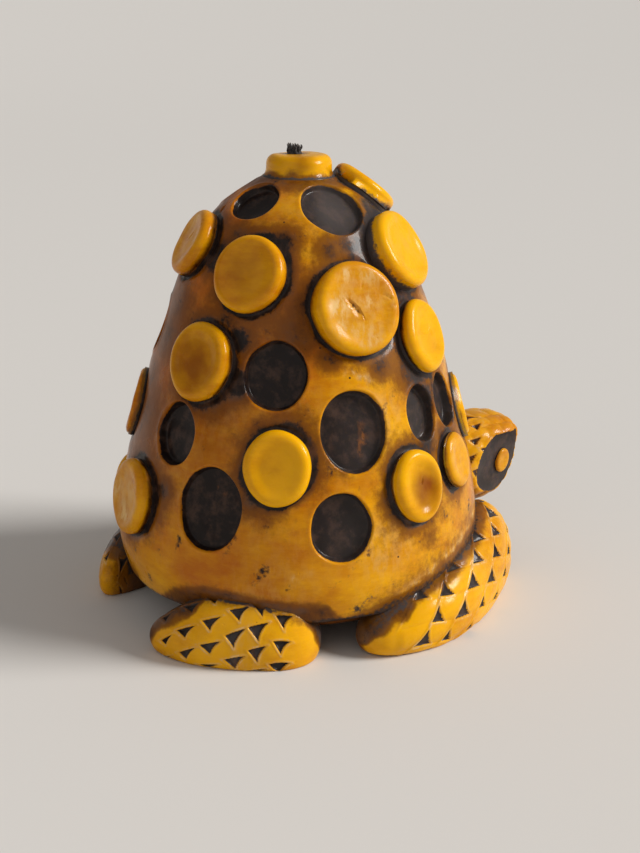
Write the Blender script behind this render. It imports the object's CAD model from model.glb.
from math import cos, pi, radians, sin, sqrt, tau

import bmesh
import bpy
import numpy as np
from mathutils import Matrix, Vector
from mathutils.geometry import delaunay_2d_cdt


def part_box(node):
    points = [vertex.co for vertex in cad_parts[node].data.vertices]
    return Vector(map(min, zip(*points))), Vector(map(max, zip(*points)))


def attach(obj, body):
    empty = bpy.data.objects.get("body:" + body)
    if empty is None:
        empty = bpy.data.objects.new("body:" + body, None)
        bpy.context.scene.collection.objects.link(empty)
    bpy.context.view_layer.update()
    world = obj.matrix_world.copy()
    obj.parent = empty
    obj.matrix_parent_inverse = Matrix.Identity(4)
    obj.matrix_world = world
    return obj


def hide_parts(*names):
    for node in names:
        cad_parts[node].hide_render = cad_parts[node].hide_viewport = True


# A moulded wax tortoise candle. Shapes are worked out in millimetres about the
# shell's axis, with the table at z = 0, +Y towards the head and angles measured
# clockwise from the head as seen from above. make_piece() turns them into metres.
MM = 0.001

# ---- camera: millimetres from the shell's axis at the table ----
CAMERA_AZIMUTH = 62.0
CAMERA_REACH = 278.0
CAMERA_HEIGHT = 127.0
CAMERA_PITCH, CAMERA_YAW, CAMERA_ROLL = 17.6, 1.0, 0.45
CAMERA_LENS = 54.7
SENSOR_WIDTH = 36.0

# ---- room: places in metres, (right, away, up) as the camera sees them ----
WINDOW_PLACE = (0.62, -0.06, 0.38)
BOUNCE_PLACE = (-0.4, -0.7, 0.5)
# (radius, height) of the floor's rings
FLOOR_RINGS = [
    (1.0, 0.0), (1.5, 0.0), (2.0, 0.02), (2.5, 0.06), (3.5, 0.15), (5.0, 0.3), (9.0, 0.7), (30.0, 2.8),
]

# ---- shell ----
# (height, radius) of the wall from the foot's underside to the rim under the crown
WALL_OUTLINE = [(8.0, 35.5), (9.0, 38.3), (11, 39.2), (16, 40.5), (22, 40.2), (30, 39.0),
                (40, 36.6), (50, 33.8), (60, 30.8), (70, 27.2), (80, 22.9), (87, 18.2),
                (92, 12.6), (94.5, 8.0)]
SEAM_ANGLE = 189.0            # an upright line that no pit crosses
CELL = 1.2                    # spacing of the shell's points away from its spots
PIT_DEPTH = 2.2
PIT_WALL = 0.75               # how far a pit's wall leans in
# rings of points round each spot, by how far outside its outline they run
PIT_RINGS = [1.7, 1.0, 0.6, 0.32, 0.12, -0.05, -0.2, -0.35, -0.5, -0.65, -0.85, -1.2, -1.9]
PIT_RING_STEP = 0.6
PIT_CLEAR = 2.1               # the plain spacing stops this near a pit's edge
DISC_RINGS = [2.2, 1.5, 1.0, 0.6, 0.25, -0.2]
DISC_RING_STEP = 0.85
DISC_CLEAR = (-0.9, 2.6)      # and between these distances outside a disc's edge
GROOVE_DEPTH, GROOVE_WIDTH = 0.35, 0.8
END_STAIN = 0.6               # of the flat hidden ends

# ---- spots: (angle, height, half width, half height) and a disc's thickness ----
DISCS = [
    (11, 91, 7.5, 7.4, 2.6), (286, 89, 7.0, 7.2, 2.4),
    (56, 80.3, 8.5, 8.5, 2.9), (93.5, 71, 9.0, 9.6, 3.0), (141.5, 77.5, 7.6, 7.9, 2.4),
    (190, 81, 7.2, 7.4, 2.6), (245, 77, 8.2, 8.2, 2.6), (326, 77, 8.0, 8.2, 2.6),
    (60.5, 63.5, 6.9, 7.7, 2.5), (157, 60, 7.4, 8.1, 2.6), (247, 55, 8.0, 8.2, 2.6),
    (290, 54, 7.8, 8.2, 2.8), (342, 60, 7.6, 8.0, 2.6),
    (30, 44.5, 7.0, 7.4, 1.2), (124.5, 41.5, 6.8, 7.7, 2.5), (206.5, 45, 7.5, 7.8, 1.5),
    (264, 39, 7.4, 7.8, 2.6), (318, 41, 7.6, 8.0, 2.6),
    (56, 37, 5.4, 6.0, 1.8), (79, 35.5, 6.2, 7.6, 2.6), (180, 29, 7.8, 8.2, 2.6),
    (222, 21.5, 7.4, 7.4, 2.4), (250, 23, 7.2, 7.5, 2.6), (305, 26.5, 6.6, 6.6, 2.4),
]
PITS = [
    (91, 90, 6.7, 6.8), (159, 91, 5.5, 5.3), (224, 91.5, 4.8, 4.8),
    (2, 74, 6.0, 6.4), (293, 73, 6.0, 6.4),
    (15, 58, 6.2, 6.6), (126.5, 59, 6.5, 7.1), (205, 63, 5.6, 6.2), (269, 65, 5.8, 6.2),
    (314.5, 60.5, 6.0, 6.6),
    (53, 49.5, 4.6, 6.0), (70, 49, 4.4, 6.0), (99, 48, 7.1, 8.4), (164, 45, 5.6, 6.7),
    (234, 41, 6.0, 6.6), (289, 37, 6.4, 7.0), (348, 43, 6.0, 6.6),
    (105, 29.5, 6.4, 7.2), (146, 32, 7.3, 8.7), (276, 22, 6.2, 6.6), (330, 28, 6.0, 6.6),
]
# what a disc's face is like: dish depth, tone (0 amber to 1 yellow), tan scuffing, brown
# blush, and the blush's place and reach (right, up, reach) as shares of the face; the
# other faces are drawn at random
FACES = {
    1: (0.2, 0.95, 0.1, 0.0, (0.0, 0.0, 0.6)), 3: (0.45, 0.9, 0.35, 0.0, (0.2, 0.0, 0.7)),
    4: (0.3, 0.55, 0.88, 0.25, (-0.1, -0.2, 0.9)), 5: (0.15, 0.5, 0.05, 0.45, (-0.15, -0.05, 1.3)),
    6: (0.3, 0.55, 0.7, 0.2, (0.1, 0.1, 0.7)), 9: (0.25, 0.85, 0.1, 0.3, (0.2, -0.4, 0.6)),
    10: (0.45, 0.6, 0.1, 0.75, (-0.1, -0.05, 1.1)), 14: (0.2, 0.9, 0.2, 0.0, (0.0, 0.0, 0.6)),
    15: (0.4, 0.85, 0.05, 0.35, (-0.1, 0.05, 0.9)), 16: (0.3, 0.5, 0.5, 0.5, (0.0, 0.0, 0.7)),
    19: (0.3, 0.65, 0.6, 0.15, (0.0, 0.0, 0.8)), 20: (0.5, 0.75, 0.2, 0.95, (0.2, -0.1, 0.75)),
    21: (0.35, 0.5, 0.8, 0.3, (0.0, -0.3, 0.4)),
}
FACE_SEED = 20
# nicks in a face, by disc: (right, up, turn, half length, half width, depth)
NICKS = {
    4: [(-0.9, 0.1, -52, 2.6, 0.65, 0.55), (6.6, 1.6, -35, 1.9, 0.3, 0.3),
        (6.9, -0.2, 20, 1.7, 0.3, 0.3), (1.5, 4.6, 15, 1.2, 0.2, 0.15)],
    6: [(0.5, 1.0, 60, 1.5, 0.25, 0.2)],
    9: [(0.8, 0.8, 50, 1.4, 0.22, 0.15), (1.2, 0.2, 95, 1.2, 0.2, 0.15)],
    12: [(1.0, -1.0, 40, 2.0, 0.35, 0.3)],
    15: [(-1.5, -1.0, 20, 0.8, 0.2, 0.12)],
    20: [(0.4, 0.9, 70, 1.0, 0.35, 0.2)],
    23: [(-1.2, 1.4, -60, 1.8, 0.3, 0.25)],
}
# how high the dark stain climbs a disc's side, and the side it favours (degrees from its right)
CLIMB = {3: (3.8, 195), 1: (3.0, 215), 9: (1.6, 200), 13: (1.6, 150), 7: (1.5, 300)}
DISC_AROUND = 120             # points round a disc
DISC_EDGE = 1.5               # radius of the rounding at its face
DISC_ROOT = 0.8               # how far a disc's side goes on under the wall

# tints on the wall, as (angle, height, reach, strength): thin brown glaze between the spots
WASHES = [
    (166, 80, 6, 1.15), (184, 70, 8, 0.75), (150, 68, 6, 0.85), (127, 83.5, 5, 1.0), (84, 81, 5, 1.15),
    (90, 83, 4, 0.9), (125, 77, 3.5, 1.0), (118, 76, 4, 0.6), (143, 65, 5, 1.1), (118, 67, 7, 0.75),
    (106, 62, 4, 0.85), (63, 86, 6, 1.15), (64, 74, 7, 1.15), (86, 60, 4.5, 0.85), (68, 58, 8, 1.05),
    (102, 82, 4.5, 0.85), (103, 41, 3, 0.5), (116, 47, 3, 0.6), (166, 33, 4, 0.9), (87, 34, 5, 0.95),
    (75, 24, 4, 0.55), (59, 42, 5, 0.95), (49, 46, 5, 0.95), (207, 83, 5, 0.9), (132, 35, 4, 0.8),
    (141, 57, 5, 1.15), (78, 80, 6, 0.95), (70, 43, 6, 0.9), (30, 75, 9, 0.9), (350, 66, 8, 0.8),
    (255, 66, 9, 0.8), (305, 48, 9, 0.8), (220, 53, 9, 0.8), (240, 32, 8, 0.8), (190, 53, 7, 0.8),
    (20, 30, 8, 0.6), (275, 80, 7, 0.9), (345, 84, 6, 0.8), (205, 70, 6, 0.8), (280, 30, 6, 0.6),
    (187, 47, 9, 0.75), (185, 62, 8, 0.75), (115, 72, 6, 0.8), (156, 84, 5, 0.8), (58, 52, 6, 0.9),
    (76, 84, 6, 1.2), (70, 79, 8, 1.2), (80, 89, 4, 1.0), (50, 88, 7, 1.2), (42, 82, 7, 1.2),
    (72, 68, 7, 1.2), (66, 52, 6, 1.0),
]
# warm brown tint deep in the wax
BLUSHES = [
    (186, 48, 15, 0.95), (184, 64, 13, 0.85), (150, 45, 10, 0.55), (118, 68, 10, 0.7), (144, 52, 9, 0.6),
    (168, 24, 10, 0.12), (150, 74, 8, 0.5), (128, 40, 6, 0.4), (96, 52, 5, 0.3), (240, 60, 14, 0.6),
    (300, 60, 14, 0.5), (330, 45, 12, 0.6), (210, 30, 12, 0.6),
]
# paler, yellower wax near the top
PALE_PARTS = [
    (118, 91, 7, 1.0), (112, 82, 5, 0.8), (91, 90, 8, 1.0), (159, 91, 6, 0.7),
]
# scuffs: (angle, height, turn, half length, half width, how pale, how far the stain is bared)
MARKS = [
    (96, 45.5, 60, 3.0, 0.7, 0.3, 0.6), (94.5, 47.5, 100, 2.2, 0.6, 0.1, 0.5),
    (97, 43.5, 20, 1.8, 0.6, 0.2, 0.5), (143, 35.5, -35, 2.6, 0.35, 0.3, 0.6),
    (147, 31, -30, 1.6, 0.3, 0.2, 0.4), (97, 59.3, -20, 4.0, 0.6, 1.0, 0.2),
    (90, 57, 10, 2.4, 0.4, 0.6, 0.2), (105, 28, 40, 2.4, 0.5, 0.2, 0.5), (88, 89, 65, 2.4, 0.4, 0.7, 0.5),
    (126, 57, -20, 2.2, 0.5, 0.2, 0.5), (118, 20, 15, 4.0, 0.4, 0.5, 0.1),
    (230, 38, 20, 3.0, 0.5, 0.5, 0.4), (300, 30, -30, 4.0, 0.5, 0.7, 0.2),
    (265, 62, 50, 2.4, 0.5, 0.4, 0.5),
]

# ---- crown, wick and belly ----
CROWN_RADIUS = 7.0
CROWN_TOP = 99.5
CROWN_EDGE = 2.1
CROWN_DIP = 0.3               # how far the face lies under the top
# (out from the radius, up from the wall's top) of the fillet at the crown's foot
CROWN_FOOT = [(-0.2, -0.9), (1.1, -0.45), (0.7, 0.1), (0.3, 0.6), (0.05, 1.2), (0.0, 2.0)]
WICK_RADIUS = 1.4
WICK_PLACE = (-0.5, -0.9)
WICK_TOP = 101.4
STRANDS = 16
BELLY_BOTTOM, BELLY_TOP = 5.0, 8.3
BELLY_RADIUS = 33.0
BELLY_EDGE = 2.0

# ---- head ----
# (forward, height, half width, half height) of its sections from the neck to the nose
HEAD_SECTIONS = [(30, 22.5, 8.5, 8.5), (38, 23.5, 9.6, 10.0), (45, 24.4, 10.6, 10.6),
                 (50.5, 25.0, 10.4, 10.0), (54.2, 26.2, 9.2, 8.4), (56.4, 27.6, 7.4, 6.0),
                 (57.5, 28.4, 4.6, 4.0)]
HEAD_SQUARENESS = 2.6         # of the sections' upper half; 2 is a plain oval
HEAD_ROW_PITCH, HEAD_SCALE_PITCH = 3.5, 4.4
HEAD_CLIMB = 0.16             # how fast its rows of scales climb towards the nose
FACET_POINT = (7.5, 50.6, 25.0)
FACET_TURN, FACET_TILT = 19.5, 4.0
FACET_BROW = 7.0
EYE_FORWARD, EYE_DOWN = 1.2, 0.2
EYE_HALF_WIDTH, EYE_HALF_HEIGHT = 2.5, 3.0
# (share of the outline, height over the facet) from an iris button's foot to its middle
EYE_PROFILE = [(1.02, -0.5), (1.0, 0.1), (1.0, 0.45), (0.97, 0.65), (0.9, 0.82), (0.8, 0.9), (0.6, 0.88),
               (0.4, 0.82), (0.2, 0.78), (0.08, 0.77)]

# ---- legs, right side ----
# (right, forward, height, half width, half height) of the hind foot from its back tip
HIND_LEG = [(14.4, -42.2, 3.2, 1.2, 2.0), (16.2, -39.8, 3.2, 3.4, 5.2), (21.5, -32.5, 3.4, 6.8, 9.8),
            (26.8, -24, 3.4, 7.7, 11.8), (30.8, -17.8, 3.4, 6.6, 10.4), (32.6, -15.0, 3.6, 4.8, 7.4),
            (33.6, -13.5, 4.0, 2.8, 4.2)]
# (angle, distance from the axis, height, half width, half height) of the front leg
FRONT_LEG = [(14, 44.0, 9.5, 2.6, 4.4), (17, 43.2, 8.8, 5.6, 8.6), (24, 41.6, 8.0, 8.0, 11.8),
             (38, 38.8, 7.4, 8.8, 12.0), (54, 37.2, 6.4, 8.4, 11.6), (70, 36.9, 5.4, 8.0, 9.8),
             (84, 36.6, 4.6, 6.8, 7.0), (93, 36.6, 4.0, 5.0, 4.8), (97, 36.6, 3.8, 2.4, 2.6)]
INSIDE_WALL = 2.6             # a leg's hidden side stays this far under the wall
TABLE_SOFTNESS = 0.5          # how gently a leg's underside flattens at the table
LEG_DENSE, LEG_SPARSE = 200, 26   # points round a leg's outer and inner side
# (angle, height) of the line where the legs' tops meet the shell, and the angles over which
# the wider crease over the front leg gives way to the one over the hind foot
LEG_LINE = [(8, 12), (14, 14), (24, 19), (38, 20), (54, 18), (70, 15), (84, 11.5), (97, 7), (104, 7),
            (110, 12.5), (125, 14.5), (145, 14.5), (158, 12), (168, 7), (180, 6)]
FRONT_TO_HIND = (96, 108)
EDGE_HEIGHT, EDGE_WIDTH = 2.8, 1.4   # of the rubbed edge over the front leg's line

# scale cuts are placed by (length along the limb, length round it from the top)
HIND_FIRST, HIND_STEP = (9.4, 1.0), (4.95, 5.0)
HIND_BEND = 13.5              # where the hind foot's rows begin to climb
FRONT_FIRST = np.array([33.9, 0.9])
FRONT_DOWN, FRONT_OVER = np.array([4.6, 3.1]), np.array([-7.3, 3.1])
FRONT_ROW_PITCH = 6.6
# (length along, length round) down to which the front leg's top is dark
FRONT_DARK_TOP = [(0, -2.0), (12, -1.8), (30, -1.0), (36, 0.0), (42, 1.9), (46, 3.0), (50, 5.4), (54, 5.6),
                  (58, 5.0)]

HOLLOW = 0.78                 # how hollow a scale cut's third side is; 1 is straight

FIELDS = ["stain", "wash", "scuff", "blush", "tone"]

# ---- colours and sheen ----
AMBER = (0.44, 0.112, 0.0003, 1)
YELLOW = (0.82, 0.40, 0.001, 1)
BLUSH = (0.22, 0.052, 0.0004, 1)
TAN = (0.66, 0.36, 0.09, 1)
PALE = (0.80, 0.56, 0.26, 1)
GLAZE = (0.070, 0.024, 0.006, 1)
WARM_GLAZE = (0.17, 0.050, 0.003, 1)
GREY_GLAZE = (0.105, 0.058, 0.038, 1)
STAIN = (0.012, 0.007, 0.006, 1)
WORN_STAIN = (0.056, 0.030, 0.021, 1)
GREY_STAIN = (0.115, 0.098, 0.094, 1)
RUBBED_STAIN = (0.24, 0.085, 0.022, 1)
CHAR = (0.012, 0.011, 0.012, 1)
SOOTY_COTTON = (0.06, 0.052, 0.05, 1)
BARE_COTTON = (0.42, 0.36, 0.32, 1)
FLOOR_COLOUR = (0.70, 0.68, 0.655, 1)
ROOM_COLOUR = (0.90, 0.87, 0.84, 1)
WAX_SHEEN = {"Specular IOR Level": 0.08, "IOR": 1.45, "Coat Weight": 0.20, "Coat Roughness": 0.13,
             "Subsurface Weight": 0.12, "Subsurface Radius": (1.0, 0.5, 0.05), "Subsurface Scale": 0.003}


# ==== small mathematical helpers ====
def smooth(value, low, high):
    """0 below low, 1 above high and an S curve between."""
    share = np.clip((value - low) / (high - low), 0, 1)
    return share * share * (3 - 2 * share)


def fade(value, low, high):
    """1 below low, 0 above high and an S curve between."""
    return smooth(-value, -high, -low)


def rotated(across, upward, degrees):
    """Places given as (across, upward), as (along, beside) an axis turned by degrees."""
    c, s = cos(radians(degrees)), sin(radians(degrees))
    return across * c + upward * s, upward * c - across * s


def hills(points, size, seed, waves=20):
    """Smooth random hills of about -1 to 1 over the points, with bumps about size wide."""
    rng = np.random.default_rng(seed)
    directions = rng.normal(size=(waves, 3))
    directions /= np.linalg.norm(directions, axis=1)[:, None]
    directions *= (tau / size * rng.uniform(0.35, 0.8, waves))[:, None]
    phases = rng.uniform(0, tau, waves)
    return np.sin(points @ directions.T + phases).sum(axis=1) / sqrt(waves * 2)


def follow(rows, slopes, knots, where):
    """Points on the smooth curve through rows at knots, at the lengths in where."""
    index = np.clip(np.searchsorted(knots, where, side="right") - 1, 0, len(knots) - 2)
    span = (knots[index + 1] - knots[index])[:, None]
    t = (where - knots[index])[:, None] / span
    return ((2 * t ** 3 - 3 * t ** 2 + 1) * rows[index] + (t ** 3 - 2 * t ** 2 + t) * slopes[index] * span
            + (3 * t ** 2 - 2 * t ** 3) * rows[index + 1] + (t ** 3 - t ** 2) * slopes[index + 1] * span)


# ==== the shell's wall ====
WALL_HEIGHTS, WALL_RADII = np.array(WALL_OUTLINE, float).T
WALL_SLOPES = np.gradient(WALL_RADII, WALL_HEIGHTS)


def wall_radius(height):
    """The wall's radius at each height, through the outline's points."""
    height = np.clip(height, WALL_HEIGHTS[0], WALL_HEIGHTS[-1])
    return follow(WALL_RADII[:, None], WALL_SLOPES[:, None], WALL_HEIGHTS, height)[:, 0]


def wall_slope(height):
    """How fast the wall's radius grows with height."""
    step = 0.01
    return (wall_radius(height + step) - wall_radius(height - step)) / (2 * step)


def wall_point(angle, height):
    """Points on the wall at angles in radians and heights."""
    radius = wall_radius(height)
    return np.stack([radius * np.sin(angle), radius * np.cos(angle), height + 0 * angle], axis=-1)


def wall_normal(points):
    """Outward directions of the wall at points on it."""
    slope = wall_slope(points[:, 2])
    angle = np.arctan2(points[:, 0], points[:, 1])
    length = np.sqrt(1 + slope ** 2)
    return np.stack([np.sin(angle) / length, np.cos(angle) / length, -slope / length], axis=-1)


def wall_distance(points):
    """How far each point stands out from the shell's wall."""
    return np.hypot(points[:, 0], points[:, 1]) - wall_radius(points[:, 2])


class Spot:
    """An oval on the wall, with axes to its right, up and out as seen from outside."""

    def __init__(self, angle, height, half_width, half_height, seed):
        beta = radians(angle)
        self.centre = wall_point(np.array([beta]), np.array([float(height)]))[0]
        self.out = wall_normal(self.centre[None])[0]
        self.right = np.array([-cos(beta), sin(beta), 0])
        self.up = np.cross(self.out, self.right)
        self.half_width, self.half_height = half_width, half_height
        rng = np.random.default_rng(seed)
        self.wobble = [(order, rng.uniform(0.003, 0.011), rng.uniform(0, tau)) for order in (2, 3, 5)]

    def swell(self, turn):
        """How much the oval is out of true at each direction."""
        return 1 + sum(size * np.sin(order * turn + phase) for order, size, phase in self.wobble)

    def outline(self, turn, offset):
        """(right, up) of the outline pushed out by offset."""
        size = self.swell(turn)
        across, upward = self.half_width * np.cos(turn) * size, self.half_height * np.sin(turn) * size
        lean_across, lean_up = self.half_height * np.cos(turn), self.half_width * np.sin(turn)
        length = np.hypot(lean_across, lean_up)
        return across + offset * lean_across / length, upward + offset * lean_up / length

    def local(self, points):
        """(right, up, out) of points about the spot's centre."""
        gap = points - self.centre
        return gap @ self.right, gap @ self.up, gap @ self.out

    def distance(self, points):
        """How far each point is outside the outline, negative inside it."""
        across, upward, outward = self.local(points)
        turn = np.arctan2(upward / self.half_height, across / self.half_width)
        share = np.hypot(across / self.half_width, upward / self.half_height) / self.swell(turn)
        share = np.maximum(share, 1e-6)
        apart = (share - 1) * np.hypot(across, upward) / share
        return np.where(outward < -9, 99.0, apart)

    def on_wall(self, across, upward):
        """Points on the wall straight under (right, up) in the spot's plane."""
        points = self.centre + np.outer(across, self.right) + np.outer(upward, self.up)
        for _ in range(6):
            radius = np.hypot(points[:, 0], points[:, 1])
            gap = radius - wall_radius(points[:, 2])
            normal = wall_normal(points)
            lean = np.sqrt(1 + wall_slope(points[:, 2]) ** 2)
            points = points - np.outer(gap / (lean * (normal @ self.out)), self.out)
        return points


PIT_SPOTS = [Spot(*row, seed=100 + number) for number, row in enumerate(PITS)]
DISC_SPOTS = [Spot(*row[:4], seed=200 + number) for number, row in enumerate(DISCS)]


# ==== meshes ====
def closed_surface(rings):
    """Points and faces of a closed surface through rings of points, capped at both ends."""
    count, around, _ = rings.shape
    points = np.vstack([rings.reshape(-1, 3), rings[0].mean(axis=0), rings[-1].mean(axis=0)])
    here = np.arange(count * around).reshape(count, around)
    beside = np.roll(here, -1, axis=1)
    faces = np.stack([here[:-1], beside[:-1], beside[1:], here[1:]], axis=-1).reshape(-1, 4).tolist()
    start, end = count * around, count * around + 1
    faces += [(start, int(b), int(a)) for a, b in zip(here[0], beside[0])]
    faces += [(end, int(a), int(b)) for a, b in zip(here[-1], beside[-1])]
    return points, faces


def make_piece(name, points, faces, fields, material, node):
    """A wax piece in the scene, with its colour fields, in place of its CAD node."""
    mesh = bpy.data.meshes.new(name)
    place = points * MM
    place[:, 1] += AXIS_Y * MM
    mesh.from_pydata(place.tolist(), [], faces)
    work = bmesh.new()
    work.from_mesh(mesh)
    bmesh.ops.recalc_face_normals(work, faces=work.faces)
    work.to_mesh(mesh)
    work.free()
    for field in FIELDS:
        values = np.clip(np.zeros(len(points)) + fields.get(field, 0.0), 0, 1)
        attribute = mesh.attributes.new(field, "FLOAT", "POINT")
        attribute.data.foreach_set("value", values.astype(np.float32))
    mesh.shade_smooth()
    mesh.materials.append(material)
    piece = bpy.data.objects.new(name, mesh)
    bpy.context.scene.collection.objects.link(piece)
    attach(piece, "root")
    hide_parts(node)


def mirrored(points):
    """The same points on the tortoise's other side."""
    return points * np.array([-1.0, 1.0, 1.0])


def make_pair(name, points, faces, right_fields, left_fields, material):
    """A piece on the right and its mirror image on the left, each with its own wear."""
    make_piece(f"wax_{name}_right", points, faces, right_fields, material, f"{name}_right")
    make_piece(f"wax_{name}_left", mirrored(points), faces, left_fields, material, f"{name}_left")


# ==== shell ====
def wall_measures():
    """Heights up the wall, evenly spaced along it, with each one's flat-map height."""
    heights = np.linspace(WALL_HEIGHTS[0], WALL_HEIGHTS[-1], 4000)
    radii = wall_radius(heights)
    steps = np.hypot(np.diff(heights), np.diff(radii))
    length = np.concatenate([[0], np.cumsum(steps)])
    middle = (radii[1:] + radii[:-1]) / 2
    level = np.concatenate([[0], np.cumsum(steps / middle)])
    return heights, length, level


def spread_points(heights, length):
    """Evenly spaced points all over the wall as (angle, height) from the seam round."""
    seam = radians(SEAM_ANGLE)
    rows = []
    count = int(length[-1] / CELL)
    for row in range(count + 1):
        height = float(np.interp(length[-1] * row / count, length, heights))
        around = max(24, int(tau * float(wall_radius(np.array([height]))[0]) / CELL))
        ends = row in (0, count)
        shift = 0.5 if row % 2 and not ends else 0.0
        angles = seam + tau * (np.arange(around) + shift) / around
        if shift == 0:
            angles = np.append(angles, seam + tau)
        rows.append(np.stack([angles, np.full(len(angles), height)], axis=-1))
    return np.vstack(rows)


def ring_points(spot, offset, step):
    """Points on the wall along a spot's outline pushed out by offset."""
    around = max(24, int(pi * (spot.half_width + spot.half_height) / step))
    turn = np.arange(around) * tau / around
    return spot.on_wall(*spot.outline(turn, offset))


def ringed_points():
    """Rings of points that follow every spot, without those that meet a nearer spot."""
    spots = PIT_SPOTS + DISC_SPOTS
    kept = []
    for number, spot in enumerate(spots):
        rings, step = (PIT_RINGS, PIT_RING_STEP) if spot in PIT_SPOTS else (DISC_RINGS, DISC_RING_STEP)
        for offset in rings:
            points = ring_points(spot, offset, step)
            free = np.ones(len(points), bool)
            for other, neighbour in enumerate(spots):
                if other != number:
                    apart = np.abs(neighbour.distance(points))
                    free &= apart > abs(offset) + (0.15 if other < number else 0.0)
            kept.append(points[free])
    return np.vstack(kept)


def shell_grid():
    """Points and triangles of the plain dome, drawn close along every spot's edge."""
    heights, length, level = wall_measures()
    spread = spread_points(heights, length)
    points = wall_point(spread[:, 0], spread[:, 1])
    seam = radians(SEAM_ANGLE)
    inner = (spread[:, 0] > seam + 1e-9) & (spread[:, 0] < seam + tau - 1e-9)
    inner &= (spread[:, 1] > heights[0] + 1e-9) & (spread[:, 1] < heights[-1] - 1e-9)
    free = np.ones(len(points), bool)
    for spot in PIT_SPOTS:
        free &= np.abs(spot.distance(points)) > PIT_CLEAR
    for spot in DISC_SPOTS:
        free &= (spot.distance(points) > DISC_CLEAR[1]) | (spot.distance(points) < DISC_CLEAR[0])
    spread = spread[free | ~inner]
    rings = ringed_points()
    rings = rings[(rings[:, 2] > heights[0] + 0.5) & (rings[:, 2] < heights[-1] - 0.3)]
    ring_angle = (np.arctan2(rings[:, 0], rings[:, 1]) - seam) % tau + seam
    flat = np.vstack([spread, np.stack([ring_angle, rings[:, 2]], axis=-1)])
    chart = [Vector((float(a), float(np.interp(h, heights, level)))) for a, h in flat]
    _, _, triangles, origin, _, _ = delaunay_2d_cdt(chart, [], [], 0, 1e-7)
    source = np.array([o[0] for o in origin])
    angle, height = flat[source, 0], flat[source, 1]
    points = wall_point(angle, height)
    # the two sides of the seam are one line of points
    at_end = np.flatnonzero(angle > seam + tau - 1e-9)
    at_start = np.flatnonzero(angle < seam + 1e-9)
    start_height = {round(float(height[i]), 6): i for i in at_start}
    joined = np.arange(len(points))
    for i in at_end:
        joined[i] = start_height[round(float(height[i]), 6)]
    used, index = np.unique(joined, return_inverse=True)
    triangles = index[np.array([list(t) for t in triangles])]
    return points[used], triangles.tolist()


def close_end(points, faces, row_height, inner_radius):
    """Closes the dome's open rim at one height with a flat ring and a fan."""
    rim = np.flatnonzero(np.abs(points[:, 2] - row_height) < 1e-6)
    angle = np.arctan2(points[rim, 0], points[rim, 1])
    rim = rim[np.argsort(angle)]
    angle = np.sort(angle)
    ring = np.stack([inner_radius * np.sin(angle), inner_radius * np.cos(angle),
                     np.full(len(rim), row_height)], axis=-1)
    base = len(points)
    centre = base + len(rim)
    points = np.vstack([points, ring, [[0, 0, row_height]]])
    for i in range(len(rim)):
        j = (i + 1) % len(rim)
        faces.append((int(rim[i]), int(rim[j]), base + j, base + i))
        faces.append((base + i, base + j, centre))
    return points, faces


def sink_pits(points):
    """How far the pits move each point of the wall, and how deep in a pit it lies."""
    shift = np.zeros_like(points)
    inside = np.zeros(len(points))
    for number, spot in enumerate(PIT_SPOTS):
        apart = spot.distance(points)
        near = apart < 2.5
        outward, d = spot.local(points)[2][near], apart[near]
        into = smooth(-d, -0.12, PIT_WALL)
        rough = 0.07 * hills(points[near], 2.2, 300 + number) + 0.10 * hills(points[near], 7.0, 330 + number)
        middle = np.exp(-((d + spot.half_width) / (0.55 * spot.half_width)) ** 2)
        floor = -PIT_DEPTH + rough * smooth(-d, 0.5, 1.6) - 0.15 * middle
        lip = 0.13 * np.exp(-((d - 0.35) / 0.4) ** 2)
        move = into * (floor - outward) + lip
        shift[near] += np.outer(move, spot.out)
        inside = np.maximum(inside, np.where(apart < 0.6, -apart, -9))
    return shift, inside


def blobs(points, rows):
    """The strongest of some soft patches on the wall, given as (angle, height, reach, strength)."""
    strongest = np.zeros(len(points))
    for angle, height, reach, strength in rows:
        centre = wall_point(np.array([radians(angle)]), np.array([float(height)]))[0]
        gap = np.linalg.norm(points - centre, axis=1) / reach
        strongest = np.maximum(strongest, strength * np.exp(-gap ** 2 * 1.2))
    return strongest


def leg_crease(height, angle, ragged, broad):
    """The crease over the legs, how heavy its stain is, and the rubbed edge over the right front leg."""
    over_leg = height - np.interp(np.abs(angle), *np.array(LEG_LINE, float).T)
    in_front = fade(angle, *FRONT_TO_HIND)
    reach, heavy = 0.8 + 2.5 * in_front, 0.4 + 0.2 * in_front
    crease = np.exp(-np.clip(over_leg - 0.6 * reach + 0.6 * broad, 0, 99) / reach)
    edge = np.exp(-((over_leg - EDGE_HEIGHT) / EDGE_WIDTH) ** 2) * fade(angle, 84, 94) * smooth(angle, 30, 45)
    return crease, heavy, edge * np.clip(0.75 + 0.5 * ragged, 0, 1)


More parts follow.
